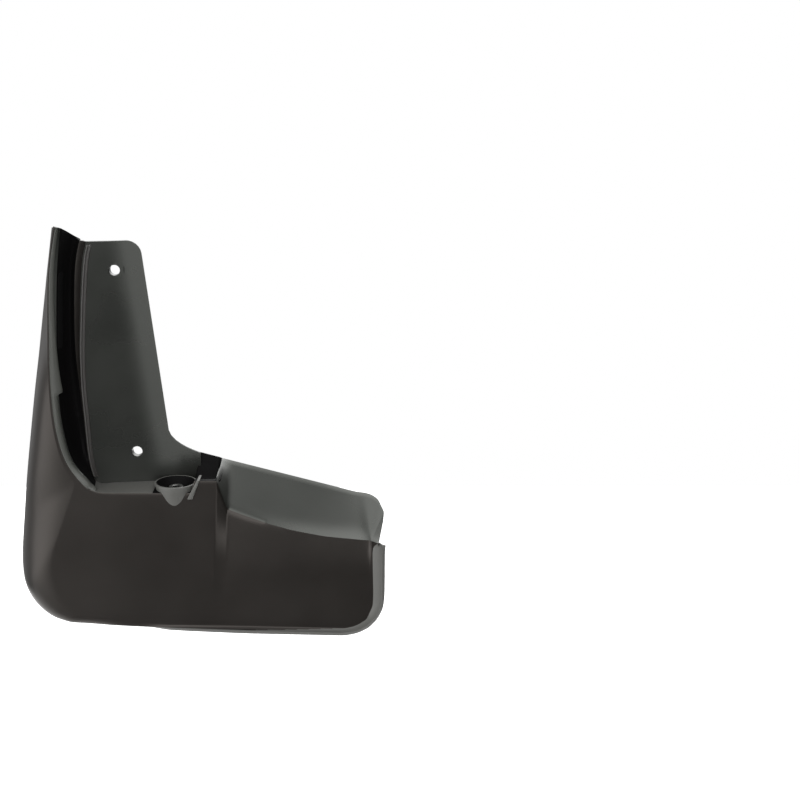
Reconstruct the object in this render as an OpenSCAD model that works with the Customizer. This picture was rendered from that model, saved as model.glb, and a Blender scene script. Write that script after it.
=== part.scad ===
// Moulded splash guard for the rear edge of a car's wheel arch, left hand.
// X runs inboard, Y runs away from the body side towards the wheel, Z is up.
// The origin is the centre of the lower flange hole, on the flange's front face.

/* [Overall] */
// Reach of the skirt's free edge outboard of the lower flange hole
outboard_reach = 98; // [80:1:125]
// Reach of the inboard lip past the lower flange hole
inboard_reach = 191; // [160:1:230]
// Height of the skirt's top above the lower flange hole
skirt_rise = 177.5; // [150:0.5:215]
// Drop of the bottom edge's lowest point below the lower flange hole
bottom_drop = 140; // [125:1:170]
// Wall thickness of the moulding
wall = 2.8; // [2:0.1:4]

/* [Lower face and skirt] */
// Distance from the flange hole's front face out to the lower face
face_depth = 24; // [18:1:36]
// Distance from the lower face back to the skirt's free edge
skirt_depth = 35; // [26:1:45]
// Radius of the lower outboard corner
corner_r = 42; // [30:1:55]
// Fall of the bottom edge from the outboard corner to the inboard corner
bottom_fall = 5; // [0:1:9]
// Radius of the lower inboard corner
lip_corner_r = 30; // [20:1:40]
// Height of the turned-up inboard lip
lip_height = 6; // [3:0.5:9]
// Width of the turned-up inboard lip
lip_w = 7.5; // [5:0.5:10]

/* [Ledge and rim] */
// Drop of the ledge's top below the lower flange hole
ledge_drop = 26; // [20:1:34]
// Width of the rim's front face at the skirt's top
rim_w = 5; // [4:0.5:7]
// Extra width of the rim's front face at the notch
rim_swell = 5; // [3:0.5:6]
// Distance that the rim's front face leans back over its width
rim_lean = 3; // [1:0.5:5]
// Distance that the channel's wall bows back between the rim and the flange
channel_bow = 6; // [0:0.5:7]

/* [Flange] */
// Height of the flange's top above the lower flange hole
flange_rise = 164; // [140:1:200]
// Inboard edge of the flange at its top
flange_top_x = 9; // [5:1:16]
// Inboard edge of the flange just above its foot
flange_foot_x = 24; // [18:1:32]
// Radius of the flange's top corner
flange_corner_r = 10; // [6:1:14]
// Radius of the blend at the flange's foot
foot_blend_r = 24; // [14:1:34]
// Height of the upper flange hole above the lower one
hole_pitch = 142; // [118:1:170]
// Distance of the upper flange hole outboard of the lower one
hole_shift = 10; // [6:1:13]
// Radius of both flange holes
hole_r = 4; // [3:0.25:5.5]
// Radius of the collars round the flange holes
collar_r = 7.5; // [6.5:0.25:9]
// Length of the collars behind the flange
collar_len = 3.2; // [2:0.2:6]
// Backward slope of the flange outboard of the holes, per millimetre
slope_out = 0.13; // [0.05:0.01:0.2]
// Backward slope of the flange inboard of the holes, per millimetre
slope_in = 0.28; // [0.2:0.01:0.36]

/* [Screw cup] */
// Distance of the cup's axis inboard of the lower flange hole
cup_x = 31; // [28:0.5:32]
// Distance of the cup's axis behind the lower face
cup_inset = 12; // [10:0.5:13]
// Outer radius of the cup's mouth
cup_mouth_r = 16.5; // [14.5:0.5:17.5]
// Height of the cup's mouth above the ledge
cup_stand = 5.5; // [4:0.5:8]
// Depth from the mouth to the top of the boss that carries the bush
cup_depth = 4.5; // [3:0.5:6]
// Outer radius of that boss
boss_r = 7; // [6:0.25:7.5]
// Height of the boss above the floor round it
boss_h = 8; // [6:0.5:9]
// Height of the cup's outer wall
cup_h = 21; // [16:1:26]
// Outer radius of the cup's wall at its foot
cup_foot_r = 13.3; // [12.5:0.1:14]
// Outer radius of the steel bush's sleeve
bush_r = 4.25; // [3.75:0.25:5]
// Radius of the screw hole through the steel bush
bush_bore_r = 2.75; // [2.25:0.25:3.25]
// Radius of the bush's flared head
bush_head_r = 5.5; // [5:0.25:7]
// Thickness of the bush's flared head
bush_head_t = 0.8; // [0.5:0.1:1.5]

/* [Inboard panel] */
// Inboard side of the corner block
block_x = 63; // [58:1:66]
// Height of the corner block above the ledge
block_rise = 9.7; // [6:0.1:12]
// Depth of the step beside the corner block
step_depth = 5; // [2:0.5:7]
// Width of the slanted face at that step
step_w = 9; // [6:1:12]
// Distance of the panel's top edge behind the flange hole's front face
panel_back = 14; // [8:1:20]
// Drop of the panel's top edge from the flange's foot to the inboard end
panel_fall = 36; // [28:1:44]

/* [Strips and bead] */
// Thickness of the edge strip and of the channel tape
strip_t = 0.9; // [0.6:0.1:1.4]
// Width taken off the edge strip below its notch
notch_w = 2; // [1:0.25:2.5]
// Height of the notch above the lower flange hole
notch_z = 53; // [40:1:60]
// Radius of the sealing bead along the flange's fold
bead_r = 1.2; // [0.8:0.1:1.6]
// Width of the channel tape
tape_w = 7; // [4:0.5:8]

/* [Hidden] */

face_y = -face_depth;
free_y = skirt_depth - face_depth;
ledge_z = -ledge_drop;
bottom_z = -bottom_drop;
panel_top_z = -5;
flange_end_x = 46;
block_top_z = ledge_z + block_rise;
crease_z = block_top_z - 25;
step_end_z = crease_z - 48;
// The shell's pieces reach this far into each other.
lap = 1.5;
// The strips and the bead are pressed this far into the moulding.
sink = 0.15;
eps = 0.01;
facets = 64;

function mix(a, b, t) = a + (b - a) * t;
function clamp01(t) = max(0, min(1, t));
function unit(v) = v / norm(v);
// Catmull-Rom curve through points a, b, c, d between b and c.
function spline(a, b, c, d, t) =
    b + t / 2 * (c - a + t * (2 * a - 5 * b + 4 * c - d + t * (3 * (b - c) + d - a)));

// Front face of the flange: a shallow slope outboard, a steeper one inboard, and a soft bend between.
bend_w = 9;
function flange_y(x) =
    x < -bend_w ? slope_out * x
    : x > bend_w ? slope_in * x
    : mix(slope_out, slope_in, (x + bend_w) / (2 * bend_w)) * x;

// Each station across the shell, from the skirt's top round to the inboard notch, holds:
// free edge [x, y, z], width of the rolled border, straightness of its curve, rim point [x, z],
// inner edge of the rim face [x, y, z], far edge of the return wall [x, y, z].
// The skirt's side is upright up to lean_start above the bottom edge, and then leans inboard.
lean_start = 52;
side_lean = 41;
lean_power = 1.15;
function side(z) =
    let (climb = (z + bottom_drop - lean_start) / (skirt_rise + bottom_drop - lean_start))
    -outboard_reach + side_lean * pow(clamp01(climb), lean_power);
function skirt_row(z, k, rim, swell, back) = [
    [side(z), free_y, z], 60, k, rim,
    [rim[0] + rim_w + rim_swell * swell, face_y + rim_lean, rim[1] - 1],
    [back[0], flange_y(back[0]) + lap, back[1]]];
// The upper stations hang from the skirt's top and the lower ones stand on the ledge, and the
// middle one keeps its share of the distance between them.
upper_z = skirt_rise - 42;
upper_rim_z = skirt_rise - 34;
notch_edge_z = 54;
notch_rim_z = 58;
notch_back_z = 56;
skirt_rows = [
    skirt_row(skirt_rise - 5, 0.5, [-47, skirt_rise], 0, [-31, flange_rise]),
    skirt_row(upper_z, 0.45, [-53.5, upper_rim_z], 0, [-37.5, upper_rim_z]),
    skirt_row(mix(upper_z, notch_edge_z, 0.491), 0.4, [-57, mix(upper_rim_z, notch_rim_z, 0.608)], 0.3,
        [-40.7, mix(upper_rim_z, notch_back_z, 0.617)]),
    skirt_row(notch_edge_z, 0.35, [-58, notch_rim_z], 1, [-40, notch_back_z]),
    skirt_row(17, 0.3, [-56.5, 27], 0.5, [-38.2, 24]),
    skirt_row(-20, 0.2, [-50.5, 0], 0.2, [-37.2, 0])];
foot_rows = [
    [[side(-58), free_y, -58], 42, 0.1, [-38.5, ledge_z + 7],
        [-36, face_y + rim_lean, ledge_z + 13], [-34.5, flange_y(-34.5) + lap, ledge_z + 7]],
    [[side(-90), free_y, -90], 38, 0, [-29, ledge_z + 1],
        [-28, face_y + 6, ledge_z + 1.5], [-30, flange_y(-30) + lap, ledge_z + 1.5]]];

// The rolled border runs round the lower outboard corner on an arc and dies out along the bottom.
// It narrows to corner_border there, and to lip_border where the lip begins.
corner_border = 14;
lip_border = 5;
corner_set_back = 8;
// Share of the lip's height that it has where it begins.
lip_start = 0.6;
function corner_row(a, t) = [
    [-outboard_reach + corner_r * (1 - cos(a)),
     mix(free_y, face_y + corner_set_back, t),
     bottom_z + bottom_fall + corner_r * (1 - sin(a))],
    mix(36, corner_border, t), 0,
    [mix(-24, 0, t), ledge_z],
    [mix(-24, 0, t), face_y + 7, ledge_z + 0.4],
    [mix(-25, 0, t), flange_y(mix(-25, 0, t)) + lap, ledge_z + 1.5]];
corner_rows = [for (t = [0.25:0.25:1]) corner_row(90 * t, t)];

// Bottom edge: x along the edge, share of the way to the inboard corner, rim point, far edge.
bottom_x0 = -outboard_reach + corner_r;
bottom_x1 = inboard_reach - lip_corner_r;
function bottom_row(x, rim, inner, back) =
    let (t = clamp01((x - bottom_x0) / (bottom_x1 - bottom_x0)), up = clamp01(2 * t - 0.3)) [
    [x, mix(face_y + corner_set_back, face_y, clamp01(5 * t)) - lip_height * lip_start * up,
     bottom_z + bottom_fall * (1 - t)],
    mix(corner_border, lip_border, clamp01(3 * t)), 0.3, rim, inner, back];
function on_ledge(x) = [x, face_y + 7, ledge_z + 0.4];
function ledge_back(x) = [x, flange_y(x) + lap, ledge_z + 1.5];
function panel_z(x) =
    panel_top_z - panel_fall * clamp01((x - flange_end_x) / (inboard_reach - 8 - flange_end_x));
// The crease between the lower face and the panel falls on a parabola towards the inboard end.
step_x = block_x + step_w;
crease_fall = 24;
function crease(x) =
    let (share = clamp01((x - step_x) / (inboard_reach - step_x - 3)))
    crease_z - crease_fall * (1 - pow(1 - share, 2));
// The panel starts this share of its width above the crease.
panel_start = 0.15;
function panel_row_inner(x, xc) = [
    mix(xc, x, panel_start),
    mix(face_y + step_depth, panel_back, panel_start),
    mix(crease(xc), panel_z(x), panel_start)];
ledge_rows = [
    bottom_row(-20, [14, ledge_z], on_ledge(14), ledge_back(14)),
    bottom_row(22, [flange_end_x - 2, ledge_z], on_ledge(flange_end_x - 2), ledge_back(flange_end_x - 3)),
    bottom_row(36, [flange_end_x + 2, block_top_z], [flange_end_x + 2, face_y + 7, block_top_z + 1],
        [flange_end_x - 1.3, flange_y(flange_end_x) + lap, block_top_z + 6]),
    bottom_row(56, [block_x, block_top_z], [block_x, face_y + 7, block_top_z + 1],
        [block_x - 4, panel_back, panel_z(block_x - 4)])];
panel_xs = [for (d = [0, 12, 30, 50, 75]) step_x + d, inboard_reach - 16];
panel_rows = [for (i = [0:len(panel_xs) - 1])
    let (xc = panel_xs[i],
         t = i / (len(panel_xs) - 1),
         xb = mix(block_x + 4, bottom_x1, t),
         xp = mix(block_x + 8, inboard_reach - 20, t))
    bottom_row(xb, [xc, crease(xc)], panel_row_inner(xp, xc), [xp, panel_back, panel_z(xp)])];

// The inboard end: the lip follows an arc and then rises to the notch.
function end_row(x, z, t, panel_x, back_z, back_y) = [
    [x, face_y - lip_height * mix(lip_start, 1, clamp01(t)), z], mix(lip_border, lip_w, clamp01(t)), 0.4,
    [inboard_reach - 8 + 5 * t, crease(inboard_reach - 4)],
    [inboard_reach - 8 + 5 * t,
     mix(face_y + 2, back_y, panel_start),
     mix(crease(inboard_reach - 4), back_z, panel_start)],
    [panel_x, back_y, back_z]];
end_z = crease(inboard_reach - 4) - 1;
end_rows = [
    for (t = [0.33, 0.67, 1])
        end_row(
            bottom_x1 + lip_corner_r * sin(90 * t), bottom_z + lip_corner_r * (1 - cos(90 * t)), t * 0.8,
            inboard_reach - 14 + 8 * t, panel_top_z - panel_fall - 1 - 3 * t, panel_back),
    end_row(inboard_reach + 0.3, mix(bottom_z + lip_corner_r, end_z, 0.5), 0.9,
        inboard_reach - 1.5, panel_top_z - panel_fall - 9, panel_back - 1),
    end_row(inboard_reach + 0.5, end_z, 1,
        inboard_reach - 0.5, panel_top_z - panel_fall - 15, panel_back - 12)];

smooth_rows = concat(skirt_rows, foot_rows, corner_rows);
straight_rows = concat(ledge_rows, panel_rows, end_rows);
smooth_n = len(smooth_rows);
rows_n = smooth_n + len(straight_rows);
all_rows = concat(smooth_rows, straight_rows);
// Rows drawn for each pair of stations on the curved part.
sub = 3;

function row_at(i, f) =
    f == 0 || i >= rows_n - 1 ? all_rows[i]
    : i < smooth_n - 1
        ? let (a = all_rows[max(i - 1, 0)],
               b = all_rows[i],
               c = all_rows[i + 1],
               d = all_rows[min(i + 2, smooth_n - 1)])
          [for (k = [0:5]) spline(a[k], b[k], c[k], d[k], f)]
        : [for (k = [0:5]) mix(all_rows[i][k], all_rows[i + 1][k], f)];
rows = [
    for (i = [0:rows_n - 2], s = [0:sub - 1]) if (i < smooth_n - 1 || s == 0) row_at(i, s / sub),
    all_rows[rows_n - 1]];

// How far the face is set back beside the corner block: nothing outboard, full depth inboard,
// and less again over the last fade_w towards the lip.
fade_w = 40;
fade_end = 0.3;
function set_back(row, z) =
    row[3][0] > block_x + 1
    ? step_depth * clamp01((z - step_end_z) / (crease_z - step_end_z))
        * clamp01((inboard_reach - row[0][0]) / fade_w + fade_end)
    : 0;
// Shares of the way across the rolled border, and across the face, at which points are placed.
roll = [0, 0.12, 0.28, 0.46, 0.64, 0.82, 1];
face = [0.35, 0.7, 1];
function roll_point(row, t) =
    let (e = row[0],
         r = [row[3][0] - e[0], row[3][1] - e[2]],
         reach = min(row[1], 0.8 * norm(r)),
         inner = [e[0] + r[0] / norm(r) * reach, face_y, e[2] + r[1] / norm(r) * reach],
         ctrl = [mix(e[0], inner[0], row[2]), mix(face_y, e[1], row[2]), mix(e[2], inner[2], row[2])],
         p = pow(1 - t, 2) * e + 2 * t * (1 - t) * ctrl + t * t * inner)
    [p[0], p[1] + (t == 1 ? set_back(row, p[2]) : 0), p[2]];
function face_point(row, t) =
    let (e = roll_point(row, 1), x = mix(e[0], row[3][0], t), z = mix(e[2], row[3][1], t))
    [x, face_y + set_back(row, z), z];
// The channel bows back beside the flange, and the bow dies out towards the ledge.
bow_fade = 30;
function bow(row) = row[3][0] < 0 ? channel_bow * clamp01((row[3][1] - ledge_z) / bow_fade) : 0;
function section(row) = concat(
    [for (t = roll) roll_point(row, t)],
    [for (t = face) face_point(row, t)],
    [row[4]],
    [mix(row[4], row[5], 0.5) + [0, bow(row), 0], row[5]]);
grid = [for (row = rows) section(row)];
n_u = len(grid);
n_v = len(grid[0]);
rim_v = len(roll) + len(face) - 1;

function normal(i, j) =
    let (du = grid[min(i + 1, n_u - 1)][j] - grid[max(i - 1, 0)][j],
         dv = grid[i][min(j + 1, n_v - 1)] - grid[i][max(j - 1, 0)],
         n = cross(du, dv))
    n / max(norm(n), eps);
normals = [for (i = [0:n_u - 1]) [for (j = [0:n_v - 1]) normal(i, j)]];

// A closed sheet of thickness between two offsets of the grid, over given rows and columns.
module sheet(front, back) {
    nu = len(front);
    nv = len(front[0]);
    pts = concat([for (r = front) for (p = r) p], [for (r = back) for (p = r) p]);
    function at(i, j) = i * nv + j;
    m = nu * nv;
    // Two triangles with the corners a, b, c, d in turn.
    function quad(a, b, c, d) = [[a, b, c], [a, c, d]];
    faces = concat(
        [for (i = [0:nu - 2], j = [0:nv - 2])
            each quad(at(i, j), at(i, j + 1), at(i + 1, j + 1), at(i + 1, j))],
        [for (i = [0:nu - 2], j = [0:nv - 2])
            each quad(m + at(i + 1, j + 1), m + at(i, j + 1), m + at(i, j), m + at(i + 1, j))],
        [for (i = [0:nu - 2]) each concat(
            quad(m + at(i + 1, 0), m + at(i, 0), at(i, 0), at(i + 1, 0)),
            quad(m + at(i, nv - 1), m + at(i + 1, nv - 1), at(i + 1, nv - 1), at(i, nv - 1)))],
        [for (j = [0:nv - 2]) each concat(
            quad(m + at(0, j), m + at(0, j + 1), at(0, j + 1), at(0, j)),
            quad(m + at(nu - 1, j + 1), m + at(nu - 1, j), at(nu - 1, j), at(nu - 1, j + 1)))]);
    polyhedron(points = pts, faces = faces, convexity = 10);
}

// The whole grid, moved d along its normals.
function offset_grid(d) = [for (i = [0:n_u - 1]) [for (j = [0:n_v - 1]) grid[i][j] + d * normals[i][j]]];

module outer_shell() {
    sheet(grid, offset_grid(-wall));
}

// Upright flange: its front outline cut from a plate that follows flange_y.
// fold_lap is how far it reaches into the return wall, and it is carried on down below the ledge.
fold_lap = 1.2;
module flange_plate() {
    plate_xs = [-60, for (x = [-bend_w:3:bend_w]) x, flange_end_x + 10];
    foot = [for (t = [0:0.25:1]) let (
        a = [flange_end_x, panel_top_z],
        b = [flange_foot_x + 2, panel_top_z + foot_blend_r * 0.45],
        c = [flange_foot_x, panel_top_z + foot_blend_r])
        pow(1 - t, 2) * a + 2 * t * (1 - t) * b + t * t * c];
    corner = [for (a = [0:15:90])
        [flange_top_x - flange_corner_r * (1 - cos(a)), flange_rise - flange_corner_r * (1 - sin(a))]];
    foot_z = ledge_z - 1.5;
    fold = [for (row = rows) if (row[5][0] < -27) [row[5][0] - fold_lap, row[5][2]]];
    intersection() {
        translate([0, 0, ledge_z - 4])
            linear_extrude(height = flange_rise - ledge_z + 10)
                polygon(concat([for (x = plate_xs) [x, flange_y(x)]],
                    [for (i = [len(plate_xs) - 1:-1:0]) [plate_xs[i], flange_y(plate_xs[i]) + wall]]));
        rotate([90, 0, 0])
            translate([0, 0, -60])
                linear_extrude(height = 120)
                    polygon(concat(fold, [[-30, foot_z], [flange_end_x, foot_z]], foot, corner));
    }
}

module hole_axis(x, z) {
    translate([x, flange_y(x), z]) rotate([-90, 0, 0]) children();
}
module at_holes() {
    hole_axis(0, 0) children();
    hole_axis(-hole_shift, hole_pitch) children();
}

cup_y = face_y + cup_inset;
mouth_z = ledge_z + cup_stand;
boss_top_z = mouth_z - cup_depth;
cup_floor_z = boss_top_z - boss_h;
cup_low_z = mouth_z - cup_h;
bush_len = boss_h + wall;

// Boss under the dished recess, with a rounded mouth.
module cup_body() {
    translate([cup_x, cup_y, 0])
        rotate_extrude($fn = facets)
            polygon([[0, cup_low_z], [cup_foot_r, cup_low_z], [cup_mouth_r, mouth_z - 1],
                     [cup_mouth_r - 0.6, mouth_z], [0, mouth_z]]);
}
// The dish round the boss, the hollow under its floor, and the bush's seat.
module cup_hollows() {
    dish_floor_r = mix(cup_foot_r, cup_mouth_r, (cup_floor_z - cup_low_z) / cup_h) - wall;
    translate([cup_x, cup_y, 0])
        rotate_extrude($fn = facets)
            polygon([[0, boss_top_z], [boss_r, boss_top_z], [boss_r, cup_floor_z], [dish_floor_r, cup_floor_z],
                     [cup_mouth_r - 2, mouth_z + eps], [cup_mouth_r - 2, mouth_z + 8], [0, mouth_z + 8]]);
    translate([cup_x, cup_y, cup_low_z - eps])
        cylinder(r = cup_foot_r - wall, h = cup_floor_z - wall - cup_low_z + eps, $fn = facets);
    translate([cup_x, cup_y, boss_top_z - bush_len - 1])
        cylinder(r = bush_r, h = bush_len + 2, $fn = facets);
}

// Short rib that ties the cup to the corner block, reaching a little way into the lower face.
rib_foot_z = ledge_z - 9;
rib_lap = 1.2;
module tie_rib() {
    translate([0, cup_y, 0])
        rotate([90, 0, 0])
            linear_extrude(height = cup_inset + rib_lap)
                polygon([[flange_end_x + 3, block_top_z + 0.5], [flange_end_x + 6, block_top_z + 0.5],
                         [flange_end_x, rib_foot_z], [flange_end_x - 4, rib_foot_z]]);
}

module flap_moulding() {
    color([0.17, 0.165, 0.16])
        difference() {
            union() {
                outer_shell();
                flange_plate();
                at_holes() translate([0, 0, wall / 2 + 0.2])
                    cylinder(r = collar_r, h = wall / 2 + collar_len, $fn = facets);
                cup_body();
                tie_rib();
            }
            cup_hollows();
            at_holes() translate([0, 0, -4])
                cylinder(r = hole_r, h = wall + collar_len + 8, $fn = facets);
        }
}

// Soft strip on the rim's front face, narrower below its notch.
function strip_share(z) = z > notch_z ? 1 : 1 - notch_w / (rim_w + rim_swell);
strip_last = sub * (smooth_n - 1);
// The strip keeps this far off the rim's sharp edge.
strip_gap = 0.3;
function strip_line(d) = [for (i = [0:strip_last])
    let (a = grid[i][rim_v], b = grid[i][rim_v + 1], n = normals[i][rim_v + 1])
    [a + d * n + strip_gap * unit(b - a), mix(a, b, strip_share(a[2])) + d * n]];
module edge_strip() {
    color([0.34, 0.35, 0.33]) sheet(strip_line(strip_t), strip_line(-sink));
}

// Thin tape on the return wall, in the upper part of the channel.
// It starts this share of the way back along the return wall.
tape_start = 0.3;
function tape_line(d) = [for (i = [sub:sub * 2 + 1])
    let (a = grid[i][rim_v + 1], b = grid[i][rim_v + 2], n = normals[i][rim_v + 2], p = mix(a, b, tape_start))
    [p + d * n, p + tape_w * unit(b - a) + d * n]];
module channel_tape() {
    color([0.12, 0.12, 0.12]) sheet(tape_line(strip_t), tape_line(-sink));
}

// Round sealing bead along the flange's fold.
bead_shift = 3.2;
bead_path = [for (i = [1:sub * (len(skirt_rows) + 1)])
    let (x = rows[i][5][0] + bead_shift) [x, flange_y(x) - bead_r + sink, rows[i][5][2]]];
module fold_bead() {
    sides = 8;
    n = len(bead_path);
    ring = [for (k = [0:sides - 1]) let (a = (k + 0.5) * 360 / sides) bead_r * [cos(a), sin(a), 0]];
    pts = [for (p = bead_path) for (r = ring) p + r];
    color([0.1, 0.1, 0.1])
        polyhedron(points = pts, faces = concat(
            [for (i = [0:n - 2], k = [0:sides - 1])
                let (k2 = (k + 1) % sides, low = i * sides, high = low + sides)
                each [[low + k, low + k2, high + k2], [low + k, high + k2, high + k]]],
            [[for (k = [sides - 1:-1:0]) k], [for (k = [0:sides - 1]) (n - 1) * sides + k]]), convexity = 6);
}

// Flared steel bush pressed into the cup's boss, as long as the boss and the floor under it.
module cup_bush() {
    color([0.45, 0.45, 0.45])
        translate([cup_x, cup_y, boss_top_z])
            difference() {
                union() {
                    translate([0, 0, -bush_len]) cylinder(r = bush_r, h = bush_len + eps, $fn = facets);
                    cylinder(r = bush_head_r, h = bush_head_t, $fn = facets);
                }
                translate([0, 0, -bush_len - 1])
                    cylinder(r = bush_bore_r, h = bush_len + bush_head_t + 2, $fn = facets);
            }
}

flap_moulding();
edge_strip();
fold_bead();
channel_tape();
cup_bush();
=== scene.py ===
import bpy
import math
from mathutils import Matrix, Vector


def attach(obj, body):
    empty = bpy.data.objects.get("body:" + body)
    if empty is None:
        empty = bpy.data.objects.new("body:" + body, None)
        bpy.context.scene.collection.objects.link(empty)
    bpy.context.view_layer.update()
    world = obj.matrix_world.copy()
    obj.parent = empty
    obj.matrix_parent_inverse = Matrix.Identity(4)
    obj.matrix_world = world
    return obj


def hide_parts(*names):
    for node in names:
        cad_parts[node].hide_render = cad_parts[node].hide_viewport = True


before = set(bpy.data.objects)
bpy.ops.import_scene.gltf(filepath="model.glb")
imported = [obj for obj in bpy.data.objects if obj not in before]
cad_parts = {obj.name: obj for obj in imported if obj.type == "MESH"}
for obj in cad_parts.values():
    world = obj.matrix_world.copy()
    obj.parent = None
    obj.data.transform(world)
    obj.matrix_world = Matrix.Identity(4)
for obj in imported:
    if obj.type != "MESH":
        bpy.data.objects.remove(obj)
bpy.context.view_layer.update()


# ---------------------------------------------------------------------------
# Moulding, the body. The guard is one injection moulding of black polypropylene.
# Lower face, rolled skirt, channel wall, ledge, inboard panel and turned-up lip are
# one wall, shaped here as a long strip from the free edge to the far edge.
# ---------------------------------------------------------------------------
MM = 0.001
wall = 2.8
outboard_reach, inboard_reach = 96.3, 189.8
skirt_rise, bottom_drop, bottom_fall = 177.5, 140.0, 5.0
face_y, free_y = -24.0, 11.0
ledge_z, block_top_z = -26.0, -16.3
crease_z = block_top_z - 25
step_end_z = crease_z - 48
corner_r, lip_corner_r = 42.0, 30.0
lip_height, lip_w, lip_start = 6.0, 8.0, 0.6
block_x, step_w, step_depth = 64.0, 6.7, 5.5
step_x = block_x + step_w
flange_end_x, flange_rise = 46.0, 164.0
panel_back, panel_top_z, panel_fall = 14.0, -5.0, 36.0
panel_end_z = panel_top_z - panel_fall
rim_w, rim_lean = 5.2, 3.0
lap = 1.2


def mix(a, b, t):
    return a + (b - a) * t


def clamp01(t):
    return max(0.0, min(1.0, t))


def flange_y(x, z=-26.0):
    """Front face of the flange: shallow outboard, steeper inboard, with a soft slanting bend between."""
    out_slope, in_slope, half_bend = 0.13, 0.29, 7.0
    past_bend = x - (10.8 - 0.123 * z)
    if past_bend < half_bend:
        past_bend = max(0, past_bend + half_bend) ** 2 / (4 * half_bend)
    return out_slope * x + (in_slope - out_slope) * past_bend


def skirt_x(z):
    lean_start = 52
    climb = clamp01((z + bottom_drop - lean_start) / (skirt_rise + bottom_drop - lean_start))
    return -outboard_reach + 39.3 * climb ** 1.15


# A station across the body: free edge, width of the rolled border, straightness of its
# curve, rim point, and then the five points that carry the wall back from the rim.
EDGE, RIM, INNER, TURN, WALL_FRONT, FOLD = 0, 3, 4, 5, 7, 8


def straight_back(inner, far):
    return [inner] + [inner.lerp(far, t) for t in (0.25, 0.5, 0.75, 1)]


def channel_back(rim, wall_x, facet_w, depth, drop=1, w=rim_w):
    """The channel goes straight back, turns, and comes forward to a narrow facet at the flange."""
    x, z = rim
    edge_y = flange_y(wall_x) - 3.2 * clamp01(facet_w / 4)
    fold_x = wall_x + facet_w
    return [Vector((x + w, face_y + rim_lean, z - drop)),
            Vector((mix(x + w, wall_x, 0.22), mix(face_y, depth, 0.6), z - drop)),
            Vector((mix(x + w, wall_x, 0.62), depth, z - drop)),
            Vector((wall_x, edge_y, z - drop)),
            Vector((fold_x, flange_y(fold_x) + lap, z - drop))]


def skirt_station(z, straight, rim, wall_x, facet_w, depth=-1, w=rim_w):
    return [Vector((skirt_x(z), free_y, z)), 60.0, straight, Vector((rim[0], face_y, rim[1]))] + channel_back(
        rim, wall_x, facet_w, depth, w=w)


top_station = skirt_station(skirt_rise - 5, 0.5, (-47, skirt_rise), -33.5, 5.5, w=3.4)
for point, above_flange in zip(top_station[TURN:], (8.5, 3.2, 1.2, 0)):
    point.z = flange_rise + above_flange
corner_border, lip_border, corner_set_back = 10.0, 2.0, 6.0


def corner_station(t):
    """Round the lower outboard corner, where the rolled border narrows and comes forward."""
    angle = math.radians(90 * t)
    x = mix(-24, 0, t)
    edge = Vector((-outboard_reach + corner_r * (1 - math.cos(angle)),
                   mix(free_y, face_y + corner_set_back, t),
                   -bottom_drop + bottom_fall + corner_r * (1 - math.sin(angle))))
    far = Vector((x - 1 + t, flange_y(x) + lap, ledge_z + 1.5))
    return [edge, mix(50, corner_border, t), 0.0, Vector((x, face_y, ledge_z))] + straight_back(
        Vector((x, face_y + 7, ledge_z + 0.4)), far)


bottom_x0, bottom_x1 = -outboard_reach + corner_r, inboard_reach - lip_corner_r


def bottom_station(x, rim, back):
    t = clamp01((x - bottom_x0) / (bottom_x1 - bottom_x0))
    lip = lip_height * lip_start * clamp01(2 * t - 0.3)
    edge = Vector((x, mix(face_y + corner_set_back, face_y, clamp01(5 * t)) - lip,
                   -bottom_drop + bottom_fall * (1 - t)))
    border = mix(corner_border, lip_border, clamp01(3 * t))
    return [edge, border, 0.3, Vector((rim[0], face_y, rim[1]))] + back


def ledge_station(x_bottom, x, far_x):
    far = Vector((far_x, flange_y(far_x) + lap, ledge_z + 1.5))
    return bottom_station(x_bottom, (x, ledge_z), straight_back(Vector((x, face_y + 7, ledge_z + 0.4)), far))


def block_station(x_bottom, x, far_x, far_z):
    """The corner block is open behind its top edge, and the wall rises at the back of the pocket."""
    back = [Vector((x, face_y + 5.5, block_top_z)), Vector((x, face_y + 6.5, ledge_z)),
            Vector((mix(x, far_x, 0.6), panel_back - 10, ledge_z)),
            Vector((far_x, panel_back - 2, mix(ledge_z, far_z, 0.4))), Vector((far_x, panel_back, far_z))]
    return bottom_station(x_bottom, (x, block_top_z), back)


def panel_z(x):
    return panel_top_z - panel_fall * clamp01((x - flange_end_x) / (inboard_reach - 8 - flange_end_x))


def crease(x):
    share = clamp01((x - step_x) / (inboard_reach - step_x - 3))
    return crease_z - 24 * (1 - (1 - share) ** 2)


panel_start = 0.15


def panel_station(x_bottom, x_crease, x_top):
    low = Vector((x_crease, face_y + step_depth, crease(x_crease)))
    high = Vector((x_top, panel_back, panel_z(x_top)))
    return bottom_station(x_bottom, (x_crease, low.z), straight_back(low.lerp(high, panel_start), high))


end_z = crease(inboard_reach - 4) - 1


def end_station(x, z, t, x_top, z_top, y_top):
    """The turned-up lip, t from its foot to its top, where the rim steps out over it."""
    last = clamp01(33 * t - 32)
    low = Vector((inboard_reach - 9.5 + 1.7 * t + 5.5 * last, face_y + 2, end_z + 1 - 2 * last))
    high = Vector((x_top, y_top, z_top))
    edge = Vector((x, face_y - lip_height * mix(lip_start, 1, t), z))
    rim = Vector((low.x, face_y, low.z))
    return [edge, mix(lip_border, lip_w, t), 0.4, rim] + straight_back(low.lerp(high, panel_start), high)


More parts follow.
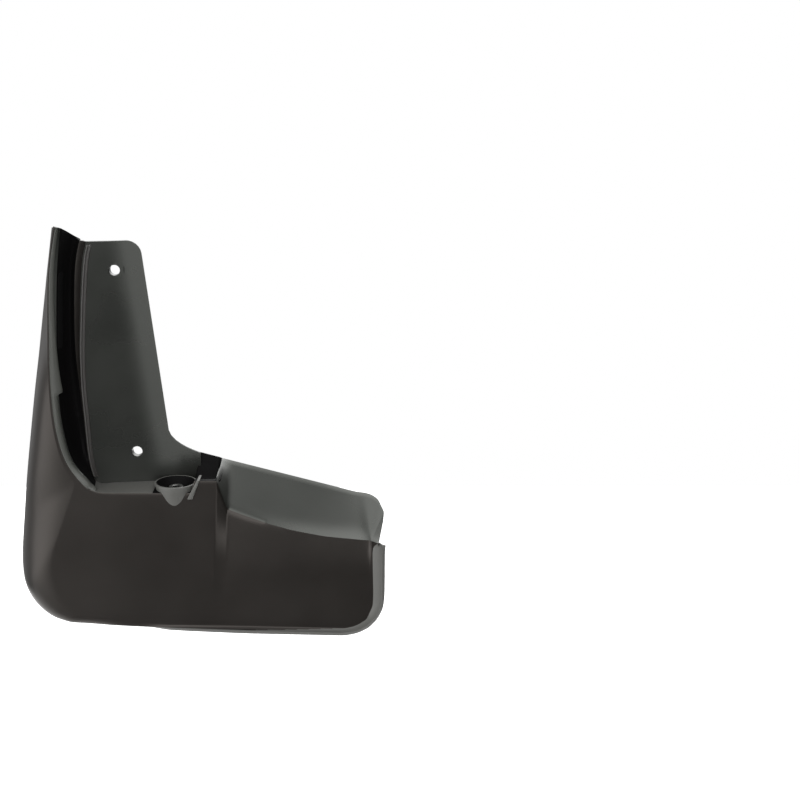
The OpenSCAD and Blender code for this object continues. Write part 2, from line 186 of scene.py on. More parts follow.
foot_station = [Vector((skirt_x(-58), free_y, -58)), 58.0, 0.0, Vector((-38.5, face_y, ledge_z + 7))]
foot_station += channel_back((-38.5, ledge_z + 7), -34.5, 0.6, -10, -2)
ledge_start = [Vector((skirt_x(-90), free_y, -90)), 56.0, 0.0, Vector((-29, face_y, ledge_z + 1))]
ledge_start += straight_back(Vector((-28, face_y + 6, ledge_z + 1.5)),
                             Vector((-30, flange_y(-30) + lap, ledge_z + 1.5)))
curved = [
    top_station,
    skirt_station(skirt_rise - 42, 0.45, (-53.5, skirt_rise - 34), -38.0, 5.6),
    skirt_station(skirt_rise - 82, 0.4, (-57, skirt_rise - 86), -41.0, 3.8),
    skirt_station(54, 0.2, (-58, 58), -40.2, 1.7),
    skirt_station(17, 0.1, (-56.5, 27), -38.4, 0.9),
    skirt_station(-20, 0.02, (-50.5, 0), -37.2, 0.8, -4),
    foot_station,
    ledge_start,
] + [corner_station(t) for t in (0.25, 0.5, 0.75, 1.0)]
ledge_part = [curved[-1], ledge_station(-20, 14, 14), ledge_station(22, flange_end_x - 2, flange_end_x - 3)]
block_part = [ledge_part[-1],
              block_station(33, flange_end_x + 1, flange_end_x, panel_top_z),
              block_station(36, flange_end_x + 3, flange_end_x + 3, panel_z(flange_end_x + 3)),
              block_station(54, block_x - 2, block_x - 3, panel_z(block_x - 3))]
block_end = bottom_station(57, (block_x, block_top_z), straight_back(
    Vector((block_x, face_y + 5.5, block_top_z + 1)), Vector((block_x, panel_back, panel_z(block_x)))))
crease_xs = [step_x + d for d in (0, 12, 30, 50, 75)] + [inboard_reach - 16]
panel_part = [block_end] + [
    panel_station(mix(block_x + 4, bottom_x1, i / 5), crease_x, mix(block_x + 8, inboard_reach - 20, i / 5))
    for i, crease_x in enumerate(crease_xs)]
end_part = [panel_part[-1]]
for t in (0.2, 0.4, 0.6, 0.8, 1.0):
    angle = math.radians(90 * t)
    drop = 1 - math.cos(angle)
    end_part.append(end_station(
        bottom_x1 + lip_corner_r * math.sin(angle), -bottom_drop + lip_corner_r * drop, t * 0.8,
        inboard_reach - 19 + 18 * math.sin(angle * 0.9),
        panel_end_z + 3 - 8.2 * drop, panel_back - 6.7 * drop ** 1.5))
lip_foot_z = -bottom_drop + lip_corner_r
for past, z, t, top_past, below, forward in (
        (0.3, mix(lip_foot_z, end_z, 0.5), 0.9, 1.5, 9.1, 11.7),
        (0.4, end_z - 4, 0.96, 1.3, 11.8, 15.1),
        (0.5, end_z, 1, 1, 14.4, 18.4)):
    end_part.append(end_station(inboard_reach + past, z, t, inboard_reach + top_past,
                                panel_end_z - below, panel_back - forward))


def spline(a, b, c, d, t):
    return b + (c - a + (2 * a - 5 * b + 4 * c - d + (3 * (b - c) + d - a) * t) * t) * (t / 2)


def blend_rows(rows, steps, smooth):
    """Rows in between the given stations, on a smooth curve or a straight line."""
    out = []
    for i in range(len(rows) - 1):
        a, b, c, d = rows[max(i - 1, 0)], rows[i], rows[i + 1], rows[min(i + 2, len(rows) - 1)]
        for step in range(steps):
            t = step / steps
            out.append([spline(*parts, t) if smooth else mix(parts[1], parts[2], t)
                        for parts in zip(a, b, c, d)])
    return out + [rows[-1]]


block_first = 5 * (len(curved) - 1) + 4 * (len(ledge_part) - 1)
stations = (blend_rows(curved, 5, True)[:-1] + blend_rows(ledge_part, 4, False)[:-1]
            + blend_rows(block_part, 2, False)[:-1] + blend_rows([block_part[-1], block_end], 2, False)[:-1]
            + blend_rows(panel_part, 4, False)[:-1] + blend_rows(end_part, 2, False))


def set_back(station, z):
    """The face is set back beside the corner block, and the step dies out downwards."""
    share = clamp01((station[RIM].x - block_x) / step_w)
    drop = clamp01((z - step_end_z) / (crease_z - step_end_z))
    return share * step_depth * drop * clamp01((inboard_reach - station[EDGE].x) / 40 + 0.3)


roll_steps = [0, 0.08, 0.17, 0.27, 0.38, 0.5, 0.62, 0.75, 0.88, 1]
face_steps = [0.025, 0.12, 0.3, 0.5, 0.7, 0.86, 0.96, 1]
rim_col = len(roll_steps) + len(face_steps) - 1
end_col = len(roll_steps) - 1


def section(station):
    """One row of points: round the rolled border, up the face to the rim, and back."""
    edge, width, straight, rim = station[:INNER]
    reach = rim - Vector((edge.x, face_y, edge.z))
    curved_share = mix(0.94, 0.8, clamp01((rim.x + 40) / 20))
    inward = clamp01((edge.x - inboard_reach + 12) / 10)
    along = reach.normalized().lerp(Vector((-1, 0, 0)), inward).normalized()
    end = Vector((edge.x, face_y, edge.z)) + along * min(width, curved_share * reach.length)
    pull = Vector((mix(edge.x, end.x, straight), mix(face_y, edge.y, straight), mix(edge.z, end.z, straight)))
    row = []
    for t in roll_steps:
        point = edge * (1 - t) ** 2 + pull * (2 * t * (1 - t)) + end * t * t
        point.y += set_back(station, point.z) * t
        row.append(point)
    for t in face_steps:
        point = end.lerp(rim, t)
        point.y += set_back(station, point.z)
        row.append(point)
    return row + list(station[INNER:])


grid = [section(station) for station in stations]
columns = len(grid[0])


def deselect():
    if bpy.context.mode != "OBJECT":
        bpy.ops.object.mode_set(mode="OBJECT")
    bpy.ops.object.select_all(action="DESELECT")


def make_active(obj):
    deselect()
    obj.select_set(True)
    bpy.context.view_layer.objects.active = obj


def apply_all(obj):
    make_active(obj)
    for modifier in list(obj.modifiers):
        bpy.ops.object.modifier_apply(modifier=modifier.name)


def strip_mesh(name, rows):
    """A grid primitive whose rows are pulled onto the given lines of points."""
    deselect()
    bpy.ops.mesh.primitive_grid_add(x_subdivisions=len(rows[0]) - 1, y_subdivisions=len(rows) - 1, size=1)
    obj = bpy.context.object
    obj.name = name
    obj.data.name = name
    for i, row in enumerate(rows):
        for j, point in enumerate(row):
            obj.data.vertices[i * len(row) + j].co = Vector(point) * MM
    return obj


# Finishes of the same plastic: a fine spark-eroded grain on the faces that show on the car,
# a smoother satin on the flange, rim and inboard panel, a dead matt, near-black painted shade in the
# recesses, and a paler colour painted as light on the ledge, the lip and the outside of the cup.
def wear_group():
    """Fine grain for the bump, slow clouds for tint and gloss, and worn edges from the surface's points."""
    group = bpy.data.node_groups.new("moulded_grain", "ShaderNodeTree")
    group.interface.new_socket("Scale", in_out="INPUT", socket_type="NodeSocketFloat")
    for name in ("Height", "Clouds", "Edges"):
        group.interface.new_socket(name, in_out="OUTPUT", socket_type="NodeSocketFloat")
    nodes, link = group.nodes, group.links
    group_in, group_out = nodes.new("NodeGroupInput"), nodes.new("NodeGroupOutput")
    coord = nodes.new("ShaderNodeTexCoord")
    fine = nodes.new("ShaderNodeTexNoise")
    fine.inputs["Detail"].default_value = 3
    cloud = nodes.new("ShaderNodeTexNoise")
    cloud.inputs["Scale"].default_value = 14
    cloud.inputs["Detail"].default_value = 4
    geometry = nodes.new("ShaderNodeNewGeometry")
    edges = nodes.new("ShaderNodeMapRange")
    edges.inputs["From Min"].default_value = 0.53
    edges.inputs["From Max"].default_value = 0.62
    link.new(coord.outputs["Object"], fine.inputs["Vector"])
    link.new(coord.outputs["Object"], cloud.inputs["Vector"])
    link.new(group_in.outputs["Scale"], fine.inputs["Scale"])
    link.new(geometry.outputs["Pointiness"], edges.inputs["Value"])
    link.new(fine.outputs["Fac"], group_out.inputs["Height"])
    link.new(cloud.outputs["Fac"], group_out.inputs["Clouds"])
    link.new(edges.outputs["Result"], group_out.inputs["Edges"])
    return group


moulded_grain = wear_group()


def finish(name, dark, light, rough, scale, bump, level, worn, tone=(1, 1, 1)):
    """A dark moulded or extruded surface: two tints in clouds, grain in the bump, paler worn edges."""
    mat = bpy.data.materials.new(name)
    mat.use_nodes = True
    nodes, link = mat.node_tree.nodes, mat.node_tree.links
    bsdf = nodes["Principled BSDF"]
    grain = nodes.new("ShaderNodeGroup")
    grain.node_tree = moulded_grain
    grain.inputs["Scale"].default_value = scale
    tint = nodes.new("ShaderNodeMix")
    tint.data_type = "RGBA"
    tint.inputs["A"].default_value = (*dark, 1)
    tint.inputs["B"].default_value = (*light, 1)
    link.new(grain.outputs["Clouds"], tint.inputs["Factor"])
    weaken = nodes.new("ShaderNodeMath")
    weaken.operation = "MULTIPLY"
    weaken.inputs[1].default_value = worn
    link.new(grain.outputs["Edges"], weaken.inputs[0])
    rub = nodes.new("ShaderNodeMix")
    rub.data_type = "RGBA"
    rub.inputs["B"].default_value = (0.11, 0.11, 0.105, 1)
    link.new(weaken.outputs["Value"], rub.inputs["Factor"])
    link.new(tint.outputs["Result"], rub.inputs["A"])
    link.new(rub.outputs["Result"], bsdf.inputs["Base Color"])
    gloss = nodes.new("ShaderNodeMapRange")
    gloss.inputs["From Min"].default_value = 0.3
    gloss.inputs["From Max"].default_value = 0.7
    gloss.inputs["To Min"].default_value = rough - 0.04
    gloss.inputs["To Max"].default_value = rough + 0.05
    link.new(grain.outputs["Clouds"], gloss.inputs["Value"])
    link.new(gloss.outputs["Result"], bsdf.inputs["Roughness"])
    bumped = nodes.new("ShaderNodeBump")
    bumped.inputs["Strength"].default_value = bump
    bumped.inputs["Distance"].default_value = 0.0002
    link.new(grain.outputs["Height"], bumped.inputs["Height"])
    link.new(bumped.outputs["Normal"], bsdf.inputs["Normal"])
    bsdf.inputs["Specular IOR Level"].default_value = level
    bsdf.inputs["Specular Tint"].default_value = (*tone, 1)
    return mat


warm, cool = (1, 0.92, 0.86), (0.97, 1, 0.94)
grained = finish("grained_plastic", (0.0052, 0.0045, 0.0040), (0.0078, 0.0068, 0.0061),
                 rough=0.34, scale=1800, bump=0.10, level=0.42, worn=0.04, tone=warm)
satin = finish("satin_plastic", (0.0085, 0.0090, 0.0080), (0.0115, 0.0122, 0.0109),
               rough=0.28, scale=900, bump=0.05, level=0.62, worn=0.12, tone=cool)
# painted shade: a near-black colour for the channel, the block pocket and the cup dish, where shade falls
painted_shade = finish("painted_shade_plastic", (0.0015, 0.0014, 0.0015), (0.0026, 0.0024, 0.0025),
                rough=0.60, scale=1200, bump=0.2, level=0.06, worn=0)
# painted light: a paler colour for the ledge, the lip, the outside of the cup and the rib, where light falls
# on them
painted_light = finish("painted_light_plastic", (0.055, 0.055, 0.051), (0.070, 0.070, 0.064),
                rough=0.50, scale=900, bump=0.15, level=0.5, worn=0.1)
GRAINED, SATIN, PAINTED_SHADE, PAINTED_LIGHT = range(4)


def give_finishes(obj, index=SATIN):
    obj.data.materials.clear()
    for mat in (grained, satin, painted_shade, painted_light):
        obj.data.materials.append(mat)
    for face in obj.data.polygons:
        face.material_index = index


def face_forward(obj):
    """Points an open sheet's faces towards -Y."""
    make_active(obj)
    if sum(face.normal.y * face.area for face in obj.data.polygons) > 0:
        bpy.ops.object.mode_set(mode="EDIT")
        bpy.ops.mesh.select_all(action="SELECT")
        bpy.ops.mesh.flip_normals()
        bpy.ops.object.mode_set(mode="OBJECT")


def smooth(obj):
    modifier = obj.modifiers.new("smooth", "SUBSURF")
    modifier.levels = 1
    modifier.render_levels = 1
    apply_all(obj)


def thicken(obj, thickness, bevel=0.5):
    """Gives an open sheet its wall towards the back, and breaks its edges."""
    modifier = obj.modifiers.new("wall", "SOLIDIFY")
    modifier.thickness = thickness * MM
    modifier.offset = -1
    modifier = obj.modifiers.new("edges", "BEVEL")
    modifier.width = bevel * MM
    modifier.segments = 2
    modifier.limit_method = "ANGLE"
    modifier.angle_limit = math.radians(55)
    apply_all(obj)


def as_piece(obj, node, angle=35):
    make_active(obj)
    bpy.ops.object.shade_smooth_by_angle(angle=math.radians(angle))
    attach(obj, "root")
    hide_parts(node)


fold_col = rim_col + 4
block_rows = block_first + 8
step_row = block_first + 12


def body_crease(a, b):
    """Sharp along the rim, the block and the lip's inner corner, soft at the outboard end of the panel."""
    row_a, col_a, row_b, col_b = a // columns, a % columns, b // columns, b % columns
    x = grid[row_a][rim_col].x
    if col_a == col_b == rim_col:
        return 0.95 if x < block_x else clamp01((x - 82) / 32)
    if col_a == col_b == rim_col + 1 and x < block_x:
        return 0.8
    if col_a == col_b == fold_col and x < -30:
        return 0.8
    if col_a == col_b == end_col:
        return 0.9 * clamp01((stations[row_a][EDGE].x + 20) / 60)
    if row_a == row_b and block_first <= row_a <= block_rows and (row_a - block_first) % 2 == 0:
        return 0.8
    if row_a == row_b == step_row and rim_col >= max(col_a, col_b) and min(col_a, col_b) > end_col:
        return 0.9
    return 0.0


body = strip_mesh("moulding_body", grid)
crease_layer = body.data.attributes.new("crease_edge", "FLOAT", "EDGE")
for line in body.data.edges:
    crease_layer.data[line.index].value = body_crease(*line.vertices)
give_finishes(body)
channel_rows, ledge_rows = 33, block_first - 4
for face in body.data.polygons:
    row = min(index // columns for index in face.vertices)
    col = min(index % columns for index in face.vertices)
    edge = stations[row][EDGE]
    lip_cols = 2 + (end_col - 2) * clamp01((edge.x - 90) / 70)
    # the lip's faces and, below, the ledge rows take the painted light colour
    if edge.z < end_z and edge.x > -30 and col < lip_cols:
        face.material_index = PAINTED_LIGHT
    elif col < rim_col or (row < channel_rows and col == fold_col):
        face.material_index = GRAINED
    elif channel_rows <= row < ledge_rows:
        face.material_index = PAINTED_LIGHT
    # the channel behind the rim and the block pocket take the painted shade
    elif row < block_rows and (row >= ledge_rows or col > rim_col):
        face.material_index = PAINTED_SHADE
face_forward(body)
smooth(body)


# ---------------------------------------------------------------------------
# Moulding, the screw cup. A tapered cup on the ledge, with a deep dish round a
# boss that takes the bush, and a hollow under its floor. Its wall cuts through
# the ledge and stands proud of the lower face.
# ---------------------------------------------------------------------------
cup_x, cup_y = 31.0, face_y + 12
mouth_z = ledge_z + 5.5
low_z = mouth_z - 21
boss_top_z = mouth_z - 4.5
cup_floor_z = boss_top_z - 8
cup_mouth_r, cup_foot_r, boss_r, bush_r = 16.5, 10.8, 7.0, 4.25


def cup_r(z):
    return mix(cup_foot_r, cup_mouth_r, (z - low_z) / (mouth_z - low_z))


def turned(name, centre, profile, sides=96):
    """A ring, made of a circle extruded from point to point round a closed (radius, z) profile."""
    deselect()
    bpy.ops.mesh.primitive_circle_add(vertices=sides, radius=profile[0][0] * MM, location=(0, 0, 0))
    obj = bpy.context.object
    obj.name = name
    obj.data.name = name
    bpy.ops.object.mode_set(mode="EDIT")
    bpy.ops.mesh.select_mode(type="VERT")
    bpy.ops.mesh.select_all(action="SELECT")
    bpy.ops.transform.translate(value=(0, 0, profile[0][1] * MM))
    for (r0, z0), (r1, z1) in zip(profile, profile[1:]):
        bpy.ops.mesh.extrude_region_move(TRANSFORM_OT_translate={"value": (0, 0, (z1 - z0) * MM)})
        bpy.ops.transform.resize(value=(r1 / r0, r1 / r0, 1), center_override=(0, 0, 0))
    bpy.ops.mesh.select_all(action="DESELECT")
    bpy.ops.mesh.select_non_manifold()
    bpy.ops.mesh.bridge_edge_loops()
    bpy.ops.mesh.select_all(action="SELECT")
    bpy.ops.mesh.normals_make_consistent(inside=False)
    bpy.ops.transform.translate(value=Vector(centre) * MM)
    bpy.ops.object.mode_set(mode="OBJECT")
    return obj


def combine(obj, other, how):
    """Joins other to obj, or cuts it away, and drops it."""
    modifier = obj.modifiers.new(how, "BOOLEAN")
    modifier.operation = how
    modifier.solver = "EXACT"
    modifier.object = other
    apply_all(obj)
    bpy.data.objects.remove(other, do_unlink=True)


cup = turned("moulding_cup", (cup_x, cup_y, 0), [
    (cup_foot_r - 1.2, low_z), (cup_foot_r - 0.3, low_z + 0.4), (cup_foot_r, low_z + 1.4),
    (cup_r(low_z + 10), low_z + 10), (cup_mouth_r - 0.1, mouth_z - 1), (cup_mouth_r - 0.3, mouth_z - 0.3),
    (cup_mouth_r - 0.9, mouth_z), (cup_mouth_r - 1.6, mouth_z - 0.2), (cup_mouth_r - 2, mouth_z - 0.9),
    (cup_r(cup_floor_z) - wall + 0.4, cup_floor_z + 1), (cup_r(cup_floor_z) - wall - 0.6, cup_floor_z),
    (boss_r + 0.6, cup_floor_z), (boss_r, cup_floor_z + 0.6), (boss_r, boss_top_z - 0.4),
    (boss_r - 0.4, boss_top_z), (bush_r, boss_top_z), (bush_r, cup_floor_z - wall),
    (cup_foot_r - wall, cup_floor_z - wall), (cup_foot_r - wall, low_z)])
# the cup's outside takes the painted light colour
give_finishes(cup, PAINTED_LIGHT)
# the inside of the cup takes the painted shade
for face in cup.data.polygons:
    x, y, z = face.center / MM
    if math.hypot(x - cup_x, y - cup_y) < cup_r(z) - 1.5:
        face.material_index = PAINTED_SHADE
hole_gap = 1.2
hole_low_z, hole_top_z = low_z + 0.6, mouth_z + 9
socket = turned("socket", (cup_x, cup_y, 0), [
    (0.01, hole_low_z), (cup_r(hole_low_z) - hole_gap, hole_low_z),
    (cup_r(hole_top_z) - hole_gap, hole_top_z), (0.01, hole_top_z)])
cut_away = bpy.data.materials.new("cut_away")
socket.data.materials.append(cut_away)
make_active(body)
socket.select_set(True)
bpy.ops.object.join()
cut_index = body.data.materials.find("cut_away")


def choose_faces(obj, wanted):
    """Selects the faces that wanted(face) names, in edit mode."""
    make_active(obj)
    bpy.ops.object.mode_set(mode="EDIT")
    bpy.ops.mesh.select_mode(type="FACE")
    bpy.ops.mesh.select_all(action="DESELECT")
    bpy.ops.object.mode_set(mode="OBJECT")
    for face in obj.data.polygons:
        face.select = wanted(face)
    bpy.ops.object.mode_set(mode="EDIT")


def in_socket(face):
    x, y, z = face.center / MM
    return hole_low_z < z < hole_top_z and math.hypot(x - cup_x, y - cup_y) < cup_r(z) - hole_gap - 0.01


choose_faces(body, lambda face: face.material_index == cut_index)
bpy.ops.mesh.intersect(mode="SELECT_UNSELECT", separate_mode="NONE", solver="EXACT")
choose_faces(body, lambda face: face.material_index == cut_index or in_socket(face))
bpy.ops.mesh.delete(type="FACE")
bpy.ops.mesh.select_all(action="SELECT")
bpy.ops.mesh.remove_doubles(threshold=0.00002)
bpy.ops.mesh.dissolve_degenerate(threshold=0.00002)
bpy.ops.mesh.delete_loose()
bpy.ops.object.mode_set(mode="OBJECT")
body.data.materials.pop(index=cut_index)
thicken(body, wall)
as_piece(body, "flap_moulding")
as_piece(cup, "flap_moulding")


# ---------------------------------------------------------------------------
# Moulding, the rib. A thin web ties the cup to the corner block.
# ---------------------------------------------------------------------------
deselect()
bpy.ops.mesh.primitive_cube_add(size=1, location=(0, 0, 0))
rib = bpy.context.object
rib.name = "moulding_rib"
rib_top, rib_foot = (flange_end_x + 3.2, flange_end_x + 5.4), (flange_end_x - 5, flange_end_x - 0.8)
rib_proud = 1.4
for corner in rib.data.vertices:
    ends = rib_top if corner.co.z > 0 else rib_foot
    corner.co = Vector((ends[1] if corner.co.x > 0 else ends[0],
                        face_y - rib_proud if corner.co.y < 0 else cup_y,
                        block_top_z + 1 if corner.co.z > 0 else ledge_z - 5)) * MM
# the rib takes the painted light colour
give_finishes(rib, PAINTED_LIGHT)
modifier = rib.modifiers.new("edges", "BEVEL")
modifier.width = 0.7 * MM
modifier.segments = 3
apply_all(rib)
as_piece(rib, "flap_moulding")


# ---------------------------------------------------------------------------
# Moulding, the flange. An upright plate that lies behind the wheel arch's edge,
# with two screw holes through short collars, curved softly back inboard of them.
# ---------------------------------------------------------------------------
hole_shift, hole_pitch, hole_r, collar_r, collar_len = 10.0, 142.0, 4.0, 7.5, 3.2
flange_top_x, flange_foot_x, flange_corner_r, foot_blend_r = 9.0, 24.0, 10.0, 24.0


def fold_x(z):
    """Outboard edge of the flange, hidden behind the channel's facet."""
    facets = [(station[WALL_FRONT], station[FOLD]) for station in stations if station[WALL_FRONT].x < -29]
    for (high, high_fold), (low, low_fold) in zip(facets, facets[1:]):
        if low.z <= z <= high.z and high.z > low.z:
            t = (z - low.z) / (high.z - low.z)
            return mix(mix(low.x, high.x, t), mix(low_fold.x, high_fold.x, t), 0.7)
    return facets[0][1].x - 1 if z > 100 else -30.0


def inboard_x(z):
    """Inboard edge of the flange, with the blend at its foot and the rounded top corner."""
    blend_top = panel_top_z + foot_blend_r
    if z <= panel_top_z:
        return flange_end_x + 1.5
    if z < blend_top:
        return mix(flange_end_x + 1.5, flange_foot_x, 1 - (1 - (z - panel_top_z) / foot_blend_r) ** 2.2)
    x = mix(flange_foot_x, flange_top_x, (z - blend_top) / (flange_rise - blend_top))
    over = max(0, z - flange_rise + flange_corner_r)
    return x - flange_corner_r + math.sqrt(max(0, flange_corner_r ** 2 - over ** 2))


top_corner_angles = [math.radians(degrees) for degrees in (15, 30, 45, 60, 72, 82, 90)]
flange_zs = [ledge_z - 0.8, -20, -14, -9, panel_top_z]
flange_zs += [panel_top_z + foot_blend_r * t for t in (0.04, 0.12, 0.22, 0.34, 0.48, 0.65, 0.85)]
flange_zs += [mix(19, flange_rise - flange_corner_r, t / 30) for t in range(31)]
flange_zs += [flange_rise - flange_corner_r * (1 - math.sin(angle)) for angle in top_corner_angles]
flange_rows = []
for z in flange_zs:
    xs = [mix(fold_x(z), inboard_x(z), t / 30) for t in range(31)]
    flange_rows.append([Vector((x, flange_y(x, z), z)) for x in xs])
flange = strip_mesh("moulding_flange", flange_rows)
give_finishes(flange)
face_forward(flange)
thicken(flange, wall)


def lay_along_y(obj, centre):
    """Turns a ring made about Z so that its axis lies along Y, at its place."""
    make_active(obj)
    bpy.ops.object.mode_set(mode="EDIT")
    bpy.ops.mesh.select_all(action="SELECT")
    bpy.ops.transform.rotate(value=math.radians(90), orient_axis="X", center_override=(0, 0, 0))
    bpy.ops.transform.translate(value=Vector(centre) * MM)
    bpy.ops.object.mode_set(mode="OBJECT")


hole_places = [(0, 0), (-hole_shift, hole_pitch)]
collar_end = wall + collar_len
for x, z in hole_places:
    collar = turned("collar", (0, 0, 0), [
        (collar_r - 0.5, collar_end), (collar_r, collar_end - 0.5), (collar_r, 1.4), (2, 1.4),
        (2, collar_end)], 48)
    lay_along_y(collar, (x, flange_y(x, z), z))
    give_finishes(collar)
    combine(flange, collar, "UNION")
for x, z in hole_places:
    drill = turned("drill", (0, 0, 0), [
        (0.01, -5), (hole_r + 0.5, -5), (hole_r + 0.5, -0.6), (hole_r, -0.05), (hole_r, 12), (0.01, 12)], 48)
    lay_along_y(drill, (x, flange_y(x, z), z))
    give_finishes(drill)
    combine(flange, drill, "DIFFERENCE")
as_piece(flange, "flap_moulding")
modifier = flange.modifiers.new("even_normals", "WEIGHTED_NORMAL")
modifier.keep_sharp = True
apply_all(flange)


# ---------------------------------------------------------------------------
# Edge strip. A soft extruded strip bonded to the rim where the guard touches the
# paint. It is wide above a small notch, narrow below it, and ends at the ledge.
# ---------------------------------------------------------------------------
# painted light: the strip's pale grey stands in for the light that falls on the upward-facing rim band
painted_light_strip = finish("painted_light_strip_rubber", (0.034, 0.036, 0.031), (0.044, 0.046, 0.040),
                     rough=0.42, scale=1500, bump=0.2, level=0.62, worn=0.1)
notch_z, ledge_end_z = 53.0, ledge_z + 4


def ease(t):
    t = clamp01(t)
    return t * t * (3 - 2 * t)


def strip_width(z):
    """Swells down to the notch, and is narrow below it."""
    wide = 2.9 + 1.3 * clamp01((178 - z) / 40) + 5.4 * clamp01((160 - z) / 105) ** 2.6
    return mix(rim_w + 0.1, wide, ease((z - notch_z + 2) / 3.5))


strip_gap = 0.5
strip_profile = [(0, 0.05), (0.06, 0.6), (0.15, 0.85), (0.5, 0.9), (0.85, 0.85), (0.95, 0.6), (1, 0.05)]
strip_rows = []
for station in blend_rows(curved[:8], 16, True):
    rim, inner = station[RIM], station[INNER]
    across_rim = (inner - rim).normalized()
    on_skirt = rim.z > ledge_end_z
    width = strip_width(rim.z) if on_skirt else (inner - rim).length - 0.4
    out = Vector((0, -1, 0)) if on_skirt else Vector((0, 0, 1))
    strip_rows.append([rim + across_rim * mix(strip_gap, width, t) + out * h for t, h in strip_profile])
strip = strip_mesh("rim_strip", strip_rows)
strip.data.materials.append(painted_light_strip)
face_forward(strip)
thicken(strip, 0.55, 0.12)
as_piece(strip, "edge_strip")


# ---------------------------------------------------------------------------
# Fold bead. A thin extruded seal with two round ribs, bonded along the fold
# between the channel and the flange.
# ---------------------------------------------------------------------------
bead_rubber = finish("bead_rubber", (0.020, 0.018, 0.017), (0.028, 0.026, 0.024),
                     rough=0.30, scale=1500, bump=0.1, level=0.8, worn=0.2)
bead_profile = [(-1.0, 0.1), (-0.8, -0.5), (-0.4, -0.85), (0, -0.95), (0.4, -0.85), (0.7, -0.5), (0.9, -0.2),
                (2.0, -0.2), (2.2, -0.45), (2.5, -0.62), (2.8, -0.45), (3.0, 0.1)]
bead_rows = []
for station in blend_rows(curved[:8], 10, True)[2:-8]:
    fold, z = station[FOLD].x + 0.2, station[FOLD].z
    bead_rows.append([Vector((fold + dx, flange_y(fold + dx) + dy, z)) for dx, dy in bead_profile])
bead = strip_mesh("ribbed_bead", bead_rows)
bead.data.materials.append(bead_rubber)
face_forward(bead)
thicken(bead, 0.5, 0.1)
as_piece(bead, "fold_bead", 50)


# ---------------------------------------------------------------------------
# Channel sheet, the channel_tape part. A thin sheet along the side of the channel,
# its near-black colour painted shade where the channel lies in shade.
# ---------------------------------------------------------------------------
painted_shade_cloth = finish("painted_shade_cloth", (0.002, 0.002, 0.0022), (0.004, 0.004, 0.0042),
                    rough=0.75, scale=2600, bump=0.6, level=0.08, worn=0.05)
sheet_near, sheet_far, sheet_lift = 2.5, 9.5, 0.5
shade_sheet_rows = []
for station in blend_rows(curved, 8, True)[8:18]:
    along = (station[TURN] - station[INNER]).normalized()
    off = Vector((abs(along.y), -along.x if along.y > 0 else along.x, 0))
    shade_sheet_rows.append([station[INNER] + along * mix(sheet_near, sheet_far, t) + off * sheet_lift
                      for t in (0, 0.25, 0.5, 0.75, 1)])
shade_sheet = strip_mesh("painted_shade_sheet", shade_sheet_rows)
shade_sheet.data.materials.append(painted_shade_cloth)
face_forward(shade_sheet)
smooth(shade_sheet)
thicken(shade_sheet, 0.6, 0.1)
as_piece(shade_sheet, "channel_tape")


# ---------------------------------------------------------------------------
# Cup bush. A flared steel bush, pressed into the cup's boss so that the screw
# can't crush the plastic. Turned marks show on its head.
# ---------------------------------------------------------------------------
bush_bore_r, bush_head_r, bush_head_t, bush_len = 2.75, 5.5, 0.8, 10.8
steel = bpy.data.materials.new("turned_steel")
steel.use_nodes = True
nodes, link = steel.node_tree.nodes, steel.node_tree.links
bsdf = nodes["Principled BSDF"]
bsdf.inputs["Metallic"].default_value = 1.0
coord = nodes.new("ShaderNodeTexCoord")
centred = nodes.new("ShaderNodeMapping")
centred.inputs["Location"].default_value = (-cup_x * MM, -cup_y * MM, 0)
rings = nodes.new("ShaderNodeTexWave")
rings.wave_type = "RINGS"
rings.rings_direction = "Z"
rings.inputs["Scale"].default_value = 900
rings.inputs["Distortion"].default_value = 1.2
link.new(coord.outputs["Object"], centred.inputs["Vector"])
link.new(centred.outputs["Vector"], rings.inputs["Vector"])
shades = nodes.new("ShaderNodeMix")
shades.data_type = "RGBA"
shades.inputs["A"].default_value = (0.10, 0.10, 0.098, 1)
shades.inputs["B"].default_value = (0.17, 0.17, 0.165, 1)
link.new(rings.outputs["Fac"], shades.inputs["Factor"])
link.new(shades.outputs["Result"], bsdf.inputs["Base Color"])
gloss = nodes.new("ShaderNodeMapRange")
gloss.inputs["To Min"].default_value = 0.34
gloss.inputs["To Max"].default_value = 0.46
link.new(rings.outputs["Fac"], gloss.inputs["Value"])
link.new(gloss.outputs["Result"], bsdf.inputs["Roughness"])
head_z, bush_end_z = boss_top_z + bush_head_t, boss_top_z - bush_len
bush = turned("flared_bush", (cup_x, cup_y, 0), [
    (bush_bore_r, bush_end_z), (bush_r - 0.3, bush_end_z), (bush_r, bush_end_z + 0.3),
    (bush_r, boss_top_z), (bush_head_r - 0.1, boss_top_z), (bush_head_r, boss_top_z + 0.2),
    (bush_head_r - 0.1, head_z - 0.2), (bush_head_r - 0.4, head_z), (bush_bore_r + 0.6, head_z - 0.05),
    (bush_bore_r, head_z - 0.5)], 64)
bush.data.materials.append(steel)
as_piece(bush, "cup_bush")


# ---------------------------------------------------------------------------
# Pale floor, soft studio light and camera. A white tent, open towards the front, with a
# dark curtain on the inboard side, a dark table below and its brightest panel overhead.
# The floor lies under and behind the guard, so the front faces reflect mostly the tent.
# ---------------------------------------------------------------------------
deselect()
bpy.ops.mesh.primitive_plane_add(size=2, location=(0.2, 0.7, -0.6))
floor = bpy.context.object
floor.name = "floor"
pale = bpy.data.materials.new("pale_floor")
pale.use_nodes = True
paint = pale.node_tree.nodes["Principled BSDF"]
paint.inputs["Base Color"].default_value = (0.95, 0.95, 0.95, 1)
paint.inputs["Roughness"].default_value = 0.95
paint.inputs["Specular IOR Level"].default_value = 0.0
floor.data.materials.append(pale)

world = bpy.data.worlds.new("studio")
bpy.context.scene.world = world
world.use_nodes = True
nodes, link = world.node_tree.nodes, world.node_tree.links
tent = nodes["Background"]
coord = nodes.new("ShaderNodeTexCoord")


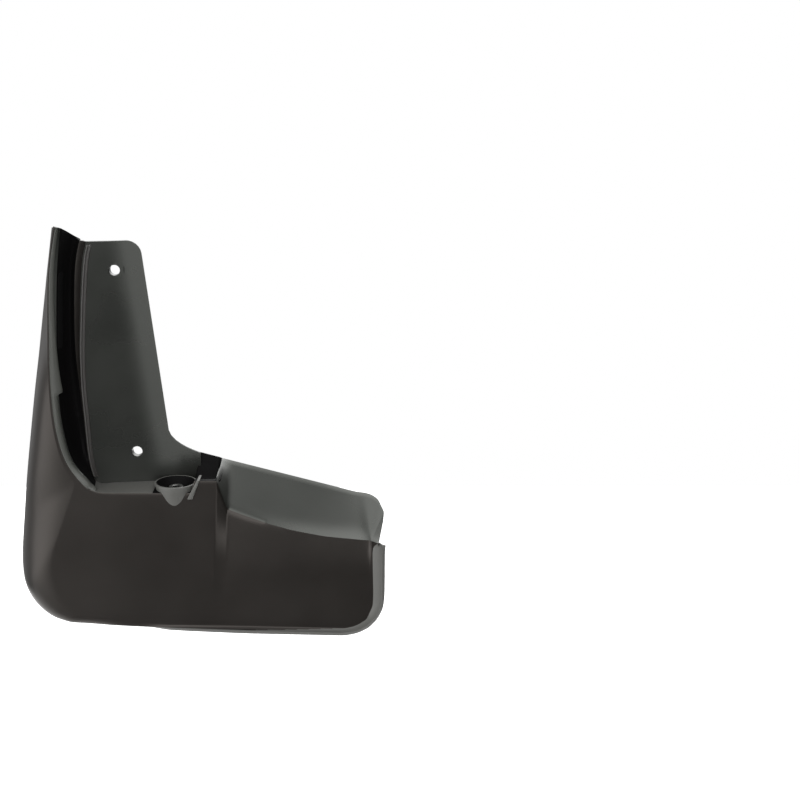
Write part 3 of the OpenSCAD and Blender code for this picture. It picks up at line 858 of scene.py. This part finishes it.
def brightness(direction, stops):
    """One grey for each stop, by the cosine of the angle between the light's direction and a given one."""
    facing = nodes.new("ShaderNodeVectorMath")
    facing.operation = "DOT_PRODUCT"
    facing.inputs[1].default_value = direction
    link.new(coord.outputs["Generated"], facing.inputs[0])
    ramp = nodes.new("ShaderNodeValToRGB")
    ramp.color_ramp.interpolation = "EASE"
    for _ in stops[2:]:
        ramp.color_ramp.elements.new(0.5)
    for stop, (position, value) in zip(ramp.color_ramp.elements, stops):
        stop.position = position
        stop.color = (value, value, value, 1)
    link.new(facing.outputs["Value"], ramp.inputs["Fac"])
    return ramp.outputs["Color"]


def combined(how, first, second):
    """Two of the tent's parts, added or multiplied."""
    both = nodes.new("ShaderNodeVectorMath")
    both.operation = how
    link.new(first, both.inputs[0])
    link.new(second, both.inputs[1])
    return both.outputs["Vector"]


walls = brightness((0, -0.966, -0.259), [(0, 0.15), (0.12, 0.35), (0.35, 2.4), (0.75, 3.0), (0.88, 2.9),
                                         (0.93, 1.5), (0.96, 0.35), (0.985, 0.1), (1, 0.08)])
roof = brightness((0.1, 0.60, 0.794), [(0, 0), (0.5, 0.1), (0.64, 0.8), (0.82, 2.8), (0.95, 3.2), (1, 3.2)])
curtain = brightness((1, 0, 0), [(0, 1), (0.57, 1), (0.70, 0.04), (1, 0.04)])
side = brightness((-1, 0, 0), [(0, 0), (0.45, 0), (0.72, 0.5), (1, 0.5)])
table = brightness((0, 0, -1), [(0, 1), (0.15, 1), (0.30, 0.8), (0.55, 0.15), (1, 0.15)])
shaded = combined("MULTIPLY", combined("ADD", walls, side), combined("MULTIPLY", curtain, table))
link.new(combined("ADD", shaded, roof), tent.inputs["Color"])
seen = nodes.new("ShaderNodeBackground")
seen.inputs["Color"].default_value = (1, 1, 1, 1)
choose = nodes.new("ShaderNodeMixShader")
path = nodes.new("ShaderNodeLightPath")
link.new(path.outputs["Is Camera Ray"], choose.inputs["Fac"])
link.new(tent.outputs["Background"], choose.inputs[1])
link.new(seen.outputs["Background"], choose.inputs[2])
link.new(choose.outputs["Shader"], nodes["World Output"].inputs["Surface"])

bpy.context.scene.view_settings.view_transform = "Standard"
camera_data = bpy.data.cameras.new("camera")
camera = bpy.data.objects.new("camera", camera_data)
bpy.context.scene.collection.objects.link(camera)
bpy.context.scene.camera = camera
tilt = math.radians(15)
aim = Vector((203.8, -24.0, 47.6)) * MM
reach = 1.05
camera.location = aim + Vector((0, -math.cos(tilt), math.sin(tilt))) * reach
camera.rotation_euler = (math.radians(90) - tilt, 0, 0)
camera_data.sensor_width = 36
camera_data.lens = 63
camera_data.clip_start = 0.05
